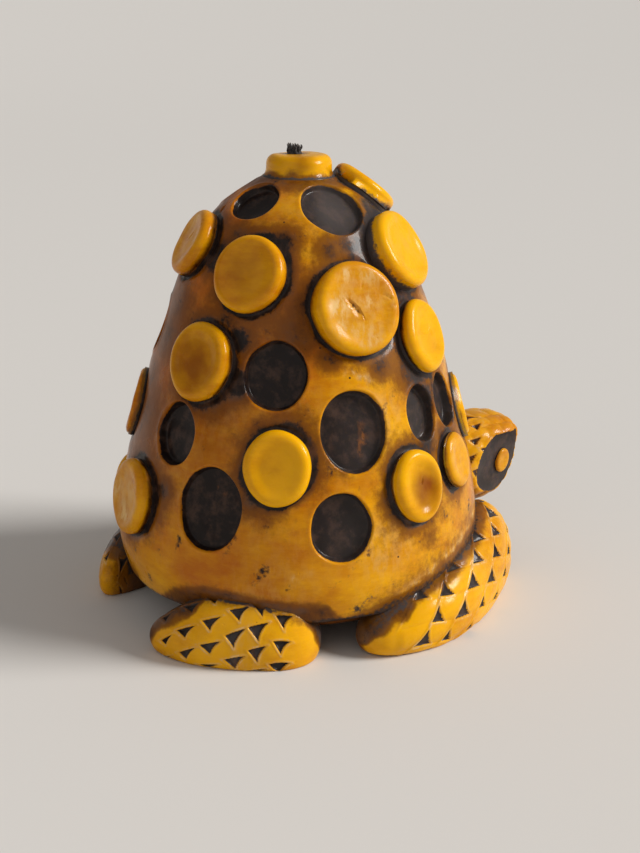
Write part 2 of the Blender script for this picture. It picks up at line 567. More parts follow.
def shell_fields(points, from_disc, pit_depth):
    """Where the shell is stained, glazed, scuffed and tinted."""
    ragged, broad = hills(points, 3.0, 41), hills(points, 9.0, 42)
    height, angle = points[:, 2], np.degrees(np.arctan2(points[:, 0], points[:, 1]))
    from_disc = np.clip(from_disc, 0, 99)
    glaze = 1.15 * blobs(points, WASHES)
    crease, heavy, edge = leg_crease(height, angle, ragged, broad)
    marks, bare = shell_marks(points)
    low, to_window = fade(height, 18, 36), smooth(angle, -40, 20)
    sunny = fade(angle, 86, 130) * to_window
    # in the pits, round the discs, at the foot, where the glaze is thickest and over the legs
    stain = np.maximum.reduce([
        smooth(pit_depth + 0.10 * ragged, -0.1, 0.3),
        1.1 * np.exp(-(from_disc / np.clip(1.3 + 0.8 * broad + 0.6 * ragged, 0.4, 3.0)) ** 1.5),
        fade(height + 0.8 * broad, 8.4, 10.6),
        0.62 * glaze ** 2,
        heavy * crease ** 2])
    # between the spots, round the discs, under the crown and over the legs
    wash = np.maximum.reduce([
        glaze + 0.15 * broad * (glaze > 0.1),
        1.15 * np.exp(-from_disc / np.clip(2.9 + 1.9 * broad + 0.7 * ragged, 0.9, 6.0)),
        0.85 * smooth(height + 0.5 * broad, 91.0, 94.2),
        0.9 * crease])
    behind = 0.35 * smooth(angle, 100, 150) * (1 - low)
    pit_rim = (0.72 + 0.35 * broad) * np.exp(-((pit_depth + 0.3) / 0.28) ** 2)
    handled = 0.25 * smooth(hills(points, 14, 43), 0.5, 1.0)
    rubbed = 0.35 * fade(angle, 60, 88) * to_window * (pit_depth < -0.5)
    return {
        "stain": stain - bare - 0.5 * edge,
        "wash": wash * (1 - 0.75 * edge),
        "scuff": pit_rim + handled + marks + 0.9 * edge + rubbed,
        "blush": np.maximum(blobs(points, BLUSHES), behind) + 0.12 * broad,
        "tone": (0.20 + 0.48 * sunny + 0.18 * low * (1 - sunny) + 0.3 * blobs(points, PALE_PARTS)
                 + 0.12 * hills(points, 30, 44)),
    }


def shell_marks(points):
    """Pale scuffs, and how far each one has bared the wax under the stain."""
    marks, bare = np.zeros(len(points)), np.zeros(len(points))
    for angle, height, turn, length, width, pale, bared in MARKS:
        across, upward, outward = Spot(angle, height, 5, 5, seed=0).local(points)
        along, beside = rotated(across, upward, turn)
        beside = beside + 0.25 * np.sin(along * 1.7)
        shape = smooth(1 - np.hypot(along / length, beside / width), 0, 0.35) * (np.abs(outward) < 6)
        marks = np.maximum(marks, max(pale, bared) * shape)
        bare = np.maximum(bare, 0.2 * bared * shape)
    return marks, bare


def build_shell(material):
    points, faces = shell_grid()
    from_disc = np.minimum.reduce([spot.distance(points) for spot in DISC_SPOTS])
    shift, pit_depth = sink_pits(points)
    fields = shell_fields(points, from_disc, pit_depth)
    groove = -GROOVE_DEPTH * np.exp(-((from_disc - 0.3) / GROOVE_WIDTH) ** 2)
    swell = 0.16 * hills(points, 18.0, 51) + 0.06 * hills(points, 6.0, 52)
    rims = (points[:, 2] < WALL_HEIGHTS[0] + 0.001) | (points[:, 2] > WALL_HEIGHTS[-1] - 0.001)
    points = points + shift + wall_normal(points) * np.where(rims, 0, groove + swell)[:, None]
    wall_count = len(points)
    points, faces = close_end(points, faces, float(WALL_HEIGHTS[0]), BELLY_RADIUS + 0.8)
    points, faces = close_end(points, faces, float(WALL_HEIGHTS[-1]), CROWN_RADIUS - 0.6)
    hidden = len(points) - wall_count
    fields = {name: np.append(value, np.full(hidden, END_STAIN if name == "stain" else 0.0))
              for name, value in fields.items()}
    make_piece("wax_shell", points, faces, fields, material, "shell")


# ==== discs ====
def disc_profile(thickness, dish):
    """(share of the outline, height, distance in from the outline) from a disc's foot to its face."""
    side = thickness - DISC_EDGE
    rows = [(0.965, -DISC_ROOT, 0.0), (0.975, -0.6, 0.0), (0.985, -0.2, 0.0), (0.995, 0.3, 0.0),
            (1.0, 0.8, 0.0), (1.0, side * 0.6, 0.0), (1.0, side, 0.0)]
    for turn in np.arange(1, 9) * pi / 16:
        rows.append((1.0, side + DISC_EDGE * sin(turn), DISC_EDGE * (1 - cos(turn))))
    for inset in (1.65, 1.8, 2.0, 2.3, 2.6, 3.0, 3.5, 4.0):
        rows.append((1.0, thickness - dish * float(smooth(inset, DISC_EDGE, 3.8)), inset))
    return rows


def disc_points(spot, thickness, dish):
    """Rings of one disc in its own plane, from its foot under the wall to its face's middle."""
    turn = np.arange(DISC_AROUND) * tau / DISC_AROUND
    foot = spot.local(spot.on_wall(*spot.outline(turn, 0.0)))[2]
    rings = []
    for share, height, inset in disc_profile(thickness, dish):
        across, upward = spot.outline(turn, -inset)
        # low rings follow the wall's curve, the others are level
        level = height + (foot if height < 1 else 0 * foot)
        rings.append(np.stack([across * share, upward * share, level], axis=-1))
    inner = rings[-1]
    rings += [inner * [shrink, shrink, 1.0] for shrink in (0.86, 0.72, 0.58, 0.44, 0.3, 0.16, 0.06)]
    return np.array(rings)


def disc_look(number):
    """Dish depth, tone, scuffing, blush and blush patch of a disc's face."""
    if number in FACES:
        return FACES[number]
    rng = np.random.default_rng(FACE_SEED + number)
    tone, scuff, blush = rng.uniform(0.3, 0.9), rng.uniform(0.1, 0.7), rng.uniform(0, 0.7)
    return rng.uniform(0.15, 0.5), tone, scuff, blush, (0.0, 0.0, 0.6)


def disc_nicks(number, across, upward):
    """How deep a disc's nicks are at each point."""
    nicked = np.zeros(len(across))
    for right, up, turn, length, width, depth in NICKS.get(number, []):
        along, beside = rotated(across - right, upward - up, turn)
        shape = np.clip(1 - (along / length) ** 2 - np.abs(beside) / width, 0, 1)
        nicked = np.maximum(nicked, depth * smooth(shape, 0, 0.7))
    return nicked


def disc_fields(number, spot, points, across, upward, on_face, nicked):
    """Stain climbing a disc's side, and the wear and the tints of its face."""
    _, tone, scuff, blush, (right, up, reach) = disc_look(number)
    ragged = hills(points, 2.0, 490 + number)
    out_of_wall = wall_distance(points)
    climb, favours = CLIMB.get(number, (0.9, 0))
    lean = 0.5 + 0.5 * np.cos(np.arctan2(upward, across) - radians(favours))
    climbed = out_of_wall / (0.75 + (climb - 0.75) * lean) + 0.14 * ragged
    on_side = 1 - on_face
    gap = np.hypot(across / spot.half_width - right, upward / spot.half_height - up) / reach
    centred = np.exp(-gap ** 2 * 1.3) * on_face
    return {
        "stain": fade(climbed, -0.15, 1.35) * on_side + 0.5 * smooth(nicked, 0.05, 0.3),
        "wash": 0.85 * fade(out_of_wall / 0.95 + 0.14 * ragged, 0.4, 1.6) * on_side,
        "scuff": scuff * on_face * (0.75 + 0.35 * hills(points, 3.5, 520 + number)),
        "blush": blush * centred * (1 + 0.1 * ragged),
        "tone": tone + 0.08 * hills(points, 9.0, 550 + number),
    }


def build_disc(number, spot, thickness, material):
    dish = disc_look(number)[0]
    local, faces = closed_surface(disc_points(spot, thickness, dish))
    across, upward, height = local.T          # views: changing one changes local
    face_share = np.hypot(across / spot.half_width, upward / spot.half_height)
    on_face = smooth(height + dish, thickness - 0.9, thickness - 0.3) * fade(face_share, 0.8, 0.98)
    bumps = 0.05 * hills(local, 3.0, 400 + number) + 0.07 * hills(local, 8.0, 430 + number)
    nicked = disc_nicks(number, across, upward)
    height += bumps * on_face - nicked * (height > thickness - 1.0)
    from_middle = np.maximum(np.hypot(across, upward), 1)
    push = 0.05 * hills(local, 4.0, 460 + number) * (face_share > 0.8) / from_middle
    across += push * across
    upward += push * upward
    points = spot.centre + local @ np.stack([spot.right, spot.up, spot.out])
    fields = disc_fields(number, spot, points, across, upward, on_face, nicked)
    name = f"disc_{number:02d}"
    make_piece(f"wax_{name}", points, faces, fields, material, f"shell_{name}")


# ==== crown, belly and wick ====
def turned_piece(outline, around):
    """Rings of a piece turned on the shell's axis, from (radius, height) points."""
    turn = np.arange(around) * tau / around
    radius, height = np.array(outline, float).T[:, :, None]
    return np.stack([radius * np.sin(turn), radius * np.cos(turn), height + 0 * turn], axis=-1)


def build_crown(material):
    low, face = float(WALL_HEIGHTS[-1]), CROWN_TOP - CROWN_DIP
    outline = [(CROWN_RADIUS + out, low + rise) for out, rise in CROWN_FOOT]
    for turn in np.arange(9) * pi / 16:
        inward, below = CROWN_EDGE * (1 - cos(turn)), CROWN_EDGE * (1 - sin(turn))
        outline.append((CROWN_RADIUS - inward, face - below))
    outline += [(radius, face) for radius in (4.5, 4.0, 3.4, 2.8, 2.3, 1.9, 1.5)]
    points, faces = closed_surface(turned_piece(outline, 128))
    radius = np.hypot(points[:, 0], points[:, 1])
    points[:, 2] += 0.12 * hills(points, 6.0, 61) * smooth(points[:, 2], low + 1, CROWN_TOP)
    swell = 1 + 0.012 * hills(points, 9.0, 62) + 0.02 * hills(points * [1, 1, 0.2], 4.5, 65)
    points[:, :2] *= swell[:, None]
    height, ragged = points[:, 2], hills(points, 2.0, 63)
    to_wick = np.hypot(*(points[:, :2] - WICK_PLACE).T)
    top = smooth(height, CROWN_TOP - 0.9, CROWN_TOP - 0.2)
    fields = {
        "stain": (fade(height + 0.35 * ragged, low - 0.1, low + 1.3)
                  + top * fade(to_wick - 0.3 * ragged, 1.7, 2.6)),
        "wash": 0.5 * top * fade(to_wick, 2.0, 4.5) + 0.8 * fade(height + 0.7 * ragged, low + 0.2, low + 2.4),
        "scuff": 0.7 * top * smooth(radius, 1, 3),
        "blush": 0.18 + 0.3 * hills(points, 5.0, 66),
        "tone": 0.8 + 0.15 * hills(points, 8.0, 64),
    }
    make_piece("wax_crown", points, faces, fields, material, "crown_disc")


def build_belly(material):
    outline = [(3.0, BELLY_TOP), (20.0, BELLY_TOP), (BELLY_RADIUS, BELLY_TOP), (BELLY_RADIUS, 7.2)]
    for turn in np.arange(1, 7) * pi / 12:
        inward, above = BELLY_EDGE * (1 - cos(turn)), BELLY_EDGE * (1 - sin(turn))
        outline.append((BELLY_RADIUS - inward, BELLY_BOTTOM + above))
    outline += [(radius, BELLY_BOTTOM) for radius in (29, 26, 22, 18, 14, 10, 6, 2)]
    points, faces = closed_surface(turned_piece(outline, 144))
    points[:, 2] += 0.12 * hills(points, 9.0, 71) * (points[:, 2] < BELLY_BOTTOM + 0.5)
    fields = {"stain": 0.55 + 0.35 * hills(points, 12.0, 72), "wash": 0.7, "blush": 0.6, "tone": 0.3}
    make_piece("wax_belly", points, faces, fields, material, "belly")


def tube(path, radii, around=8):
    """Rings of a round tube along a path of points."""
    path = np.array(path, float)
    along = np.gradient(path, axis=0)
    along /= np.linalg.norm(along, axis=1)[:, None]
    side = np.cross(along, [0.31, 0.95, 0.05])
    side /= np.linalg.norm(side, axis=1)[:, None]
    other = np.cross(along, side)
    turn = np.arange(around) * tau / around
    return np.array([p + r * (np.outer(np.cos(turn), s) + np.outer(np.sin(turn), o))
                     for p, r, s, o in zip(path, radii, side, other)])


def strand_path(strand, rng):
    """A frayed strand's way from just under the crown's top to its end."""
    turn = tau * strand / STRANDS + rng.uniform(-0.2, 0.2)
    reach = WICK_RADIUS * (0.85 if strand % 2 else 0.45)
    flare = rng.uniform(0.15, 0.55)
    top = WICK_TOP + rng.uniform(-1.0, 0.0)
    start = np.array([WICK_PLACE[0] + reach * sin(turn), WICK_PLACE[1] + reach * cos(turn), CROWN_TOP - 0.4])
    rise = np.array([flare * sin(turn) + rng.uniform(-0.15, 0.15), flare * cos(turn), top - start[2]])
    return [start + rise * share + [0.12 * sin(9 * share + strand), 0.12 * cos(8 * share), 0]
            for share in np.linspace(0, 1, 7)]


def build_wick(material):
    """The wick's cotton core, and the frayed strands of its stub."""
    rng = np.random.default_rng(80)
    core = [(*WICK_PLACE, z) for z in (BELLY_BOTTOM + 0.1, 30, 60, 90, CROWN_TOP, CROWN_TOP + 0.7)]
    tubes = [tube(core, [WICK_RADIUS] * 5 + [WICK_RADIUS * 0.8], around=16)]
    strand_radii = np.interp(np.linspace(0, 1, 7), [0, 0.7, 1], [0.3, 0.27, 0.14])
    tubes += [tube(strand_path(strand, rng), strand_radii) for strand in range(STRANDS)]
    points, faces = np.zeros((0, 3)), []
    for tube_points, tube_faces in map(closed_surface, tubes):
        faces += [tuple(len(points) + i for i in face) for face in tube_faces]
        points = np.vstack([points, tube_points])
    fields = {"scuff": smooth(points[:, 2] + 0.3 * hills(points, 0.8, 81), WICK_TOP - 0.5, WICK_TOP + 0.2)}
    make_piece("cotton_wick", points, faces, fields, material, "wick")


# ==== scales: three-cornered chisel cuts in the head and legs ====
def share_of(along, around, first, second):
    """A place as so many steps of the first direction and so many of the second."""
    area = first[0] * second[1] - first[1] * second[0]
    return (along * second[1] - around * second[0]) / area, (around * first[0] - along * first[1]) / area


def cut_scales(along, around, cuts, depth, slant):
    """Depth, stain and raised lips of all the cuts on a surface mapped by (along, around).

    A cut is (corner along, corner around, first edge, second edge): two straight steep edges from a
    corner, and a hollowed third side that its floor rises to. slant shares the rise between them."""
    sunk, stain, lip = (np.zeros(len(along)) for _ in range(3))
    for corner_along, corner_around, first, second in cuts:
        p, q = along - corner_along, around - corner_around
        near = (np.abs(p) < 7) & (np.abs(q) < 7)
        s, t = share_of(p[near], q[near], first, second)
        area = abs(first[0] * second[1] - first[1] * second[0])
        across = area / np.hypot(*np.subtract(first, second))
        hollow = 1 - (np.maximum(s, 0) ** HOLLOW + np.maximum(t, 0) ** HOLLOW) ** (1 / HOLLOW)
        edges = s * area / np.hypot(*second), t * area / np.hypot(*first)
        inside = np.minimum.reduce([*edges, hollow * across])
        floor = 1 - 0.7 * np.clip(t + slant * s, 0, 1)
        sunk[near] = np.maximum(sunk[near], depth * floor * smooth(inside, -0.06, 0.30))
        stain[near] = np.maximum(stain[near], smooth(inside, -0.08, 0.12))
        lip[near] = np.maximum(lip[near], np.exp(-((inside + 0.28) / 0.22) ** 2))
    return sunk, stain, lip


def rounded(table, count):
    """Rows along a limb's line: (x, y, z, half width, half height), rounding off to both tips."""
    rows = np.array(table, float)
    first, last = rows[0].copy(), rows[-1].copy()
    for tip, end, before in ((first, rows[0], rows[1]), (last, rows[-1], rows[-2])):
        tip[:3] += (end[:3] - before[:3]) * end[3] ** 2 / (before[3] ** 2 - end[3] ** 2)
        tip[3:] = 0
    rows = np.vstack([first, rows, last])
    rows[:, 3:] **= 2
    steps = np.linalg.norm(np.diff(rows[:, :3], axis=0), axis=1)
    knots = np.concatenate([[0], np.cumsum(steps)])
    slopes = np.gradient(rows, knots, axis=0)
    even = np.linspace(0, 1, count)
    bunched = (1 - np.cos(pi * even)) / 2
    where = 0.03 + (knots[-1] - 0.06) * (0.55 * even + 0.45 * bunched)
    curve = follow(rows, slopes, knots, where)
    curve[:, 3:] = np.sqrt(np.maximum(curve[:, 3:], 1e-3))
    return where, curve


def swept(where, curve, sides, across, upward, around):
    """A surface through ovals along a curve, and each point's length along it and round it."""
    rings = [row[:3] + np.outer(row[3] * across, side) + np.outer(row[4] * upward, [0, 0, 1])
             for row, side in zip(curve, sides)]
    points, faces = closed_surface(np.array(rings))
    along = np.concatenate([np.repeat(where, len(across)), where[[0, -1]]])
    return points, faces, along, np.concatenate([*around, [0, 0]])


def limb_surface(table, facing, rings):
    """A leg's surface round a smooth line of oval sections, with rounded ends, and its maps."""
    where, curve = rounded(table, rings)
    along = np.gradient(curve[:, :3], axis=0)
    along[:, 2] = 0
    along /= np.linalg.norm(along, axis=1)[:, None]
    outward = np.stack([along[:, 1], -along[:, 0], 0 * along[:, 0]], axis=-1) * facing
    turn = np.radians(np.concatenate([np.linspace(-75, 140, LEG_DENSE, endpoint=False),
                                      np.linspace(140, 285, LEG_SPARSE, endpoint=False)]))
    around = [ellipse_arc(turn, *row[3:]) for row in curve]
    return swept(where, curve, outward, np.sin(turn), np.cos(turn), around)


def ellipse_arc(turn, wide, high):
    """Length round an oval from its top to each direction."""
    fine = np.linspace(-pi / 2, 1.6 * pi, 400)
    speed = np.hypot(wide * np.cos(fine), high * np.sin(fine))
    total = np.concatenate([[0], np.cumsum((speed[1:] + speed[:-1]) / 2 * np.diff(fine))])
    return np.interp(turn, fine, total) - np.interp(0, fine, total)


def settle(points):
    """Rests a limb on the table, and keeps its hidden side inside the shell."""
    points[:, 2] = TABLE_SOFTNESS * np.logaddexp(0, points[:, 2] / TABLE_SOFTNESS)
    radius = np.hypot(points[:, 0], points[:, 1])
    limit = wall_radius(points[:, 2]) - INSIDE_WALL
    buried = (points[:, 2] > WALL_HEIGHTS[0]) & (radius < limit)
    points[:, :2] *= np.where(buried, limit / np.maximum(radius, 1e-6), 1.0)[:, None]


def surface_normals(points, faces):
    """Area-weighted normals at the points, pointing away from the surface's middle."""
    quads = np.array([f if len(f) == 4 else (*f, f[-1]) for f in faces])
    a, b, c, d = (points[quads[:, i]] for i in range(4))
    face_normal = np.cross(c - a, d - b)
    total = np.zeros_like(points)
    for corner in range(4):
        np.add.at(total, quads[:, corner], face_normal)
    total /= np.maximum(np.linalg.norm(total, axis=1), 1e-9)[:, None]
    volume = np.einsum("ij,ij->i", a, np.cross(b, c)).sum() + np.einsum("ij,ij->i", a, np.cross(c, d)).sum()
    return total if volume > 0 else -total


def in_the_open(points, around):
    """Whether each point of a leg is clear of the shell's wall and not far round its inner side."""
    return ((wall_distance(points) > -0.3) | (points[:, 2] < WALL_HEIGHTS[0])) * (around > -9)


def limb_fields(points, sunk_stain, lip, seed, around, dark_top, shade, shade_reach):
    """Colour fields of a scaly leg: dark cuts, a dark top down to dark_top, worn ridges.

    A brown glaze of strength shade lies on the leg as far as shade_reach from the wall."""
    ragged, broad = hills(points, 2.5, seed), hills(points, 8.0, seed + 1)
    height, gap = points[:, 2], wall_distance(points)
    shaded = dark_top - around + 0.7 * ragged
    against = np.maximum(fade(gap + 0.35 * ragged, 0.2, 1.3) * (height > 6), smooth(shaded, -0.4, 1.6))
    # down from the dark top, beside the wall and at the table
    wash = [0.95 * smooth(shaded + 0.8 * broad, -2.2, 0.6),
            shade * fade(gap + 0.6 * broad, 0.6, shade_reach),
            0.25 * fade(height + 0.5 * ragged, 0.1, 0.9)]
    return {
        "stain": np.maximum(sunk_stain, (0.72 + 0.25 * broad) * against),
        "wash": np.maximum.reduce(wash),
        "scuff": 0.75 * lip + 0.15 + 0.3 * smooth(broad, 0.3, 1.0),
        "blush": 0.08 + 0.2 * broad,
        "tone": 0.78 + 0.2 * hills(points, 14.0, seed + 2),
    }


def hind_cuts():
    """Scale cuts of a hind foot, in rows that climb towards its front end."""
    rng = np.random.default_rng(90)
    cuts = []
    for row in range(-2, 5):
        for column in range(-1, 6):
            place = HIND_FIRST[0] + HIND_STEP[0] * column - 0.3 * row + rng.uniform(-0.35, 0.35)
            past_bend = max(place - HIND_BEND, 0)
            level = HIND_FIRST[1] + HIND_STEP[1] * row - 0.0215 * past_bend ** 2 + rng.uniform(-0.25, 0.25)
            slope = -0.032 * past_bend + rng.uniform(-0.04, 0.22)
            size = rng.uniform(0.74, 0.98) * (0.75 if place < 8 else 1.0)
            edge = (4.9 * size, 4.9 * size * slope)
            tip = (rng.uniform(2.0, 2.8) * size, 3.1 * size)
            if 2.0 < place < 31.5:
                cuts.append((place - 2.2 * size, level - 1.1 * slope * size, edge, tip))
    return cuts


def build_hind_legs(material):
    points, faces, along, around = limb_surface(HIND_LEG, 1.0, 200)
    shown = in_the_open(points, around)
    sunk, stain, lip = (value * shown for value in cut_scales(along, around, hind_cuts(), 1.0, 0.0))
    relief = 0.10 * lip - sunk + 0.12 * hills(points, 5.0, 91)
    points = points + surface_normals(points, faces) * relief[:, None]
    settle(points)
    dark_right = 1.2 + 2.6 * fade(along, 8, 14) + 2.4 * smooth(along, 29, 33)
    dark_left = -8.5 + 18.0 * smooth(along, 3.0, 9.0) - 9.0 * smooth(along, 15, 21)
    right = limb_fields(points, stain, lip, 92, around, dark_right, 0.35, 2.5)
    left = limb_fields(points, stain, lip, 92, around, dark_left, 1.0, 11.0)
    make_pair("hind_leg", points, faces, right, left, material)


def front_cuts():
    """Scale cuts of a front leg, one at each corner of its slanting rows."""
    rng = np.random.default_rng(95)
    cuts = []
    for row in range(-8, 9):
        for column in range(-4, 9):
            corner = FRONT_FIRST + row * FRONT_DOWN + column * FRONT_OVER + rng.uniform(-0.25, 0.25, 2)
            size = rng.uniform(0.9, 1.12)
            if 3 < corner[0] < 54 and -7 < corner[1] < 22:
                cuts.append((*corner, -0.76 * size * FRONT_DOWN, 0.60 * size * FRONT_OVER))
    return cuts


def build_front_legs(material):
    """The front legs, with slanting rows of scales whose edges stand up as ridges."""
    table = [(out * sin(radians(angle)), out * cos(radians(angle)), *rest) for angle, out, *rest in FRONT_LEG]
    points, faces, along, around = limb_surface(table, -1.0, 280)
    bent = along + 2.6 * smooth(along, 39, 47)
    steps = share_of(bent - FRONT_FIRST[0], around - FRONT_FIRST[1], FRONT_DOWN, FRONT_OVER)
    in_row, between = (step % 1 for step in steps)
    ridge = np.exp(-(np.minimum(between, 1 - between) * FRONT_ROW_PITCH / 0.3) ** 2)
    pad = np.sqrt(np.sin(pi * in_row) * np.sin(pi * between))
    dark_top = np.interp(along, *np.array(FRONT_DARK_TOP).T)
    clear = in_the_open(points, around) * smooth(around - dark_top, -0.4, 1.0) * fade(along, 51.0, 53.0)
    sunk, stain, lip = (value * clear for value in cut_scales(bent, around, front_cuts(), 1.0, 1.0))
    relief = 0.08 * lip + (0.26 * ridge + 0.34 * pad) * clear - sunk + 0.10 * hills(points, 5.0, 96)
    points = points + surface_normals(points, faces) * relief[:, None]
    settle(points)
    worn = np.maximum(lip, 0.8 * ridge * clear)
    fields = limb_fields(points, stain, worn, 97, around, dark_top, 0.8, 3.4)
    make_pair("front_leg", points, faces, fields, fields, material)


# ==== head and eyes ====
def facet_axes():
    """(forward, up, out) of the flat facet under the right eye."""
    turn, tilt = radians(FACET_TURN), radians(FACET_TILT)
    out = np.array([cos(turn) * cos(tilt), sin(turn) * cos(tilt), -sin(tilt)])
    forward = np.array([-sin(turn), cos(turn), 0])
    return forward, np.cross(out, forward), out


def flatten_side(points):
    """Presses the head's right side flat under the brow; returns how flat each point is."""
    _, up, out = facet_axes()
    gap = points - np.array(FACET_POINT)
    beyond = gap @ out
    under_brow = gap @ up < FACET_BROW
    moved = points - np.outer(np.where(under_brow & (beyond > 0), beyond, 0), out)
    return moved, smooth(beyond, -0.1, 0.15) * under_brow


def head_surface():
    """The head's surface and its maps, which are mirror images on its two sides."""
    where, curve = rounded([(0, *row) for row in HEAD_SECTIONS], 170)
    turn = np.arange(240) * tau / 240
    power = np.where(np.cos(turn) > 0, 2 / HEAD_SQUARENESS, 1.0)
    across = np.sign(np.sin(turn)) * np.abs(np.sin(turn)) ** power
    upward = np.sign(np.cos(turn)) * np.abs(np.cos(turn)) ** power
    side = np.where(turn > pi, -1, 1)
    around = [side * ellipse_arc(np.minimum(turn, tau - turn), *row[3:]) for row in curve]
    return swept(where, curve, [[1, 0, 0]] * len(curve), across, upward, around)


def head_cuts():
    """Scale cuts of the head, in rows that climb towards the nose on both sides."""
    rng = np.random.default_rng(110)
    cuts = []
    for side in (-1, 1):
        for row in range(7):
            for column in range(1, 11):
                place = HEAD_SCALE_PITCH * (column - 0.5 * (row % 2)) + rng.uniform(-0.3, 0.3)
                down = HEAD_ROW_PITCH * (row + 1) - HEAD_CLIMB * (place - 20) + rng.uniform(-0.2, 0.2)
                size = rng.uniform(0.8, 1.1)
                edge, tip = (2.3 * size, -1.9 * side * size), (-1.5 * size, -2.2 * side * size)
                cuts.append((place, side * down, edge, tip))
    return cuts


def head_pads(along, around):
    """How far each point stands up on the head's low round scales, 0 to 1."""
    level = (np.abs(around) + HEAD_CLIMB * (along - 20)) / HEAD_ROW_PITCH
    shifted = along / HEAD_SCALE_PITCH + 0.5 * (np.floor(level) % 2)
    return np.sqrt(np.sin(pi * (level % 1)) * np.sin(pi * (shifted % 1)))


def build_head(material):
    points, faces, along, around = head_surface()
    pad = head_pads(along, around)
    sunk, stain, lip = cut_scales(along, around, head_cuts(), 0.7, 0.6)
    stain = 0.66 * stain
    normal = surface_normals(points, faces)
    right, right_flat = flatten_side(points)
    left, left_flat = flatten_side(mirrored(points))
    flat = np.maximum(right_flat, left_flat)
    free = 1 - smooth(flat, 0.1, 0.6)
    points = np.where((left_flat > 0)[:, None], mirrored(left), points)
    points = np.where((right_flat > 0)[:, None], right, points)
    relief = 0.05 * lip + 0.35 * pad - sunk + 0.10 * hills(points, 5.0, 111)
    points = points + normal * (relief * free)[:, None]
    against = fade(wall_distance(points) + 0.8 * hills(points, 2.0, 112), 0.1, 1.2)
    fields = {
        "stain": np.maximum.reduce([stain * free, flat, against]),
        "wash": 0.5 * fade(points[:, 2], 16, 22) + 0.4 * against + (1.2 * stain + 0.25 - 0.4 * pad) * free,
        "scuff": (0.25 + 0.6 * lip) * free,
        "blush": 0.1 + 0.2 * hills(points, 7.0, 113),
        "tone": 0.7 + 0.2 * hills(points, 9.0, 114),
    }
    make_piece("wax_head", points, faces, fields, material, "head")


def build_eyes(material):
    forward, up, out = facet_axes()
    centre = np.array(FACET_POINT) + EYE_FORWARD * forward - EYE_DOWN * up
    turn = np.arange(64) * tau / 64
    rim = np.outer(EYE_HALF_WIDTH * np.cos(turn), forward) + np.outer(EYE_HALF_HEIGHT * np.sin(turn), up)
    rings = [centre + rim * share + out * height for share, height in EYE_PROFILE]
    points, faces = closed_surface(np.array(rings))
    stand = (points - centre) @ out
    fields = {"stain": fade(stand + 0.15 * hills(points, 1.2, 120), 0.05, 0.35),
              "scuff": 0.3, "tone": 0.6, "blush": 0.15, "wash": 0.15}
    make_pair("eye", points, faces, fields, fields, material)


# ==== materials ====
class Nodes:
    """Short ways to add the nodes that the materials here need."""

    def __init__(self, name):
        self.material = bpy.data.materials.new(name)
        self.material.use_nodes = True
        self.tree = self.material.node_tree
        self.coordinates = self.add("TexCoord", {}).outputs["Object"]

    def fill(self, node, inputs):
        """Sets a node's inputs, each to a value or to another node's output."""
        for name, value in inputs.items():
            if isinstance(value, bpy.types.NodeSocket):
                self.tree.links.new(value, node.inputs[name])
            else:
                node.inputs[name].default_value = value

    def add(self, kind, inputs, **settings):
        node = self.tree.nodes.new("ShaderNode" + kind)
        for name, value in settings.items():
            setattr(node, name, value)
        self.fill(node, inputs)
        return node

    def field(self, name):
        return self.add("Attribute", {}, attribute_name=name).outputs["Fac"]

    def noise(self, size_mm, detail=3.0, roughness=0.55, stretch=None):
        place = self.coordinates
        if stretch:
            place = self.add("Mapping", {"Vector": place, "Scale": stretch}).outputs["Vector"]
        inputs = {"Vector": place, "Scale": 1 / (size_mm * MM), "Detail": detail, "Roughness": roughness}
        return self.add("TexNoise", inputs).outputs["Fac"]

    def pinholes(self, size_mm):
        """How far the nearest of some scattered spots is: 0 at each spot."""
        inputs = {"Vector": self.coordinates, "Scale": 1 / (size_mm * MM)}
        return self.add("TexVoronoi", inputs).outputs["Distance"]

    def maths(self, operation, first, second):
        return self.add("Math", {0: first, 1: second}, operation=operation).outputs[0]

    def varied(self, value, noise, amount):
        """A value raised or lowered by up to half of amount, as a noise of 0 to 1 says."""
        return self.maths("ADD", value, self.maths("MULTIPLY", self.maths("SUBTRACT", noise, 0.5), amount))

    def ease(self, value, low, high, start=0.0, end=1.0):
        """An S curve from start at low to end at high."""
        inputs = {"Value": value, "From Min": low, "From Max": high, "To Min": start, "To Max": end}
        return self.add("MapRange", inputs, interpolation_type="SMOOTHSTEP").outputs["Result"]

    def mix(self, factor, first, second):
        return self.add("Mix", {0: factor, 6: first, 7: second}, data_type="RGBA").outputs[2]

    def bump(self, height, distance_mm, strength, below=None):
        inputs = {"Height": height, "Distance": distance_mm * MM, "Strength": strength}
        if below is not None:
            inputs["Normal"] = below
        return self.add("Bump", inputs).outputs["Normal"]

    def shaded(self, inputs):
        """Sets the shader's inputs and returns the material."""
        self.fill(self.tree.nodes["Principled BSDF"], inputs)
        return self.material


def wax_colour(nodes):
    """Amber to yellow wax, with brown tint and rubbed places as the fields say; and how rubbed."""
    tone = nodes.varied(nodes.field("tone"), nodes.noise(16, 2.0), 0.9)
    tone = nodes.varied(tone, nodes.noise(3.0, 6.0, 0.7, stretch=(0.6, 0.6, 1.6)), 0.7)
    colour = nodes.mix(nodes.ease(tone, 0.1, 0.95), AMBER, YELLOW)
    patches = nodes.ease(nodes.noise(5, 3.0), 0.25, 0.65, 0.8, 1.05)
    blush = nodes.maths("MULTIPLY", nodes.field("blush"), patches)
    colour = nodes.mix(nodes.ease(blush, 0.0, 1.0), colour, BLUSH)
    rubbed = nodes.ease(nodes.noise(1.6, 4.0, 0.65, stretch=(1.0, 1.0, 0.45)), 0.35, 0.62, 0.25, 1.0)
    scuff = nodes.maths("MULTIPLY", nodes.field("scuff"), rubbed)
    colour = nodes.mix(nodes.ease(scuff, 0.0, 1.1), colour, TAN)
    return nodes.mix(nodes.ease(scuff, 0.5, 1.2, 0.0, 0.7), colour, PALE), scuff


